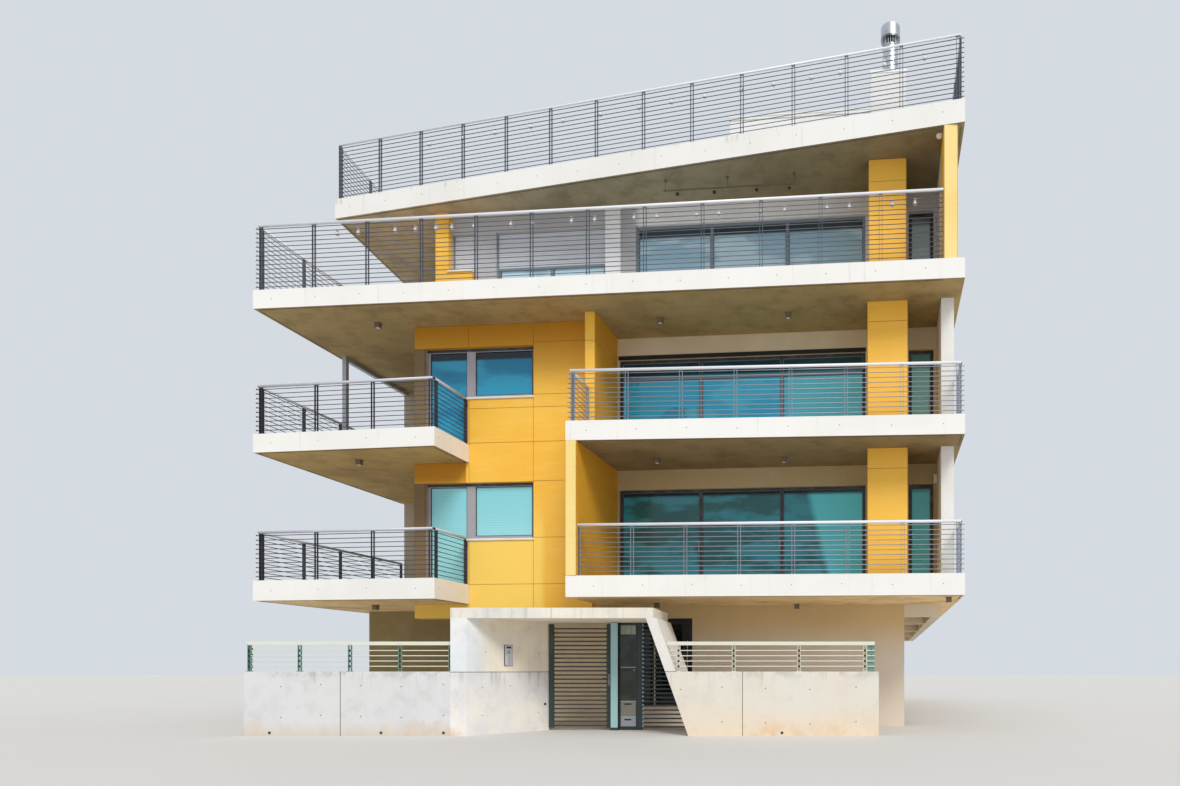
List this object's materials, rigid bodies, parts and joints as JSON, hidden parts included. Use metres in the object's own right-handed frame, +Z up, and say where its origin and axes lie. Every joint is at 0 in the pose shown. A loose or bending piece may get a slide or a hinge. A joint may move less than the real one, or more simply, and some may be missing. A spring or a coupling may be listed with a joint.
{
  "type": "apartment block",
  "caption": "Apartment block with skewed concrete balcony slabs, yellow panel walls, wire-bar railings, roof terrace and a street wall with a canopied gate.",
  "frame": {"origin": "centre of the overall bounding box in plan, on the lowest ground", "axes": "+Z up, +X to the right along the street front as seen from the street, +Y from the street to the back"},
  "size_m": [14.94, 19.506, 15.07],
  "materials": {
    "concrete": "weathered concrete",
    "yellow_panel": "smooth fibre cement panel",
    "white_render": "painted render",
    "grey_render": "painted render",
    "beige_render": "painted render",
    "window_frame": "satin",
    "window_glass": "tinted",
    "shutter": "painted slats",
    "rail_metal": "satin",
    "flue_steel": "brushed",
    "gate_paint": "satin",
    "fence_paint": "satin",
    "door_paint": "satin"
  },
  "bodies": {
    "building": {"roof_slab": "concrete", "floor_slab_3": "concrete", "floor_slab_2": "concrete", "floor_slab_1": "concrete", "left_balcony_2": "concrete", "left_balcony_1": "concrete", "yellow_wall_2": "yellow_panel", "yellow_wall_1": "yellow_panel", "yellow_fins": "yellow_panel", "recess_wall_1": "white_render", "recess_wall_2": "white_render", "recess_wall_3": "grey_render", "yellow_piers_3": "yellow_panel", "white_pier_3": "white_render", "chimney_pillar": "yellow_panel", "right_walls": "white_render", "left_walls": "white_render", "rear_walls": "white_render", "rear_yellow_walls": "yellow_panel", "loggia_walls": "grey_render", "loggia_side_walls": "grey_render", "ground_front_wall": "beige_render", "ground_left_wall": "beige_render", "lobby_side_walls": "beige_render", "lobby_floor": "grey_render", "parking_columns": "beige_render", "parking_beams": "beige_render", "front_frames_1": "window_frame", "front_frames_2": "window_frame", "front_frames_3": "window_frame", "front_glass_1": "window_glass", "front_glass_2": "window_glass", "front_glass_3": "window_glass", "roller_shutters": "shutter", "side_glass": "window_glass", "roof_railing_front": "rail_metal", "roof_railing_sides": "rail_metal", "terrace_railing": "rail_metal", "right_railing_2": "rail_metal", "right_railing_1": "rail_metal", "left_railing_2": "rail_metal", "left_railing_1": "rail_metal", "terrace_post": "rail_metal", "chimney_stack": "white_render", "flue": "flue_steel", "stair_head": "white_render", "boundary_wall_left": "concrete", "boundary_wall_right": "concrete", "gatehouse_wall": "concrete", "gatehouse_canopy": "concrete", "gate_posts": "gate_paint", "fences": "fence_paint"},
    "gate": {"gate_leaf": "gate_paint"},
    "entrance": {"entrance_door": "door_paint"}
  },
  "joints": [
    {"name": "gate_hinge", "type": "hinge", "parent": "building", "child": "gate", "pos_m": [-1.16566, -7.71251, 1], "axis": [0, 0, 1], "range_deg": [0, 90]},
    {"name": "entrance_hinge", "type": "hinge", "parent": "building", "child": "entrance", "pos_m": [0.608, -5.78196, 1.4], "axis": [0, 0, 1], "range_deg": [0, 90]}
  ]
}
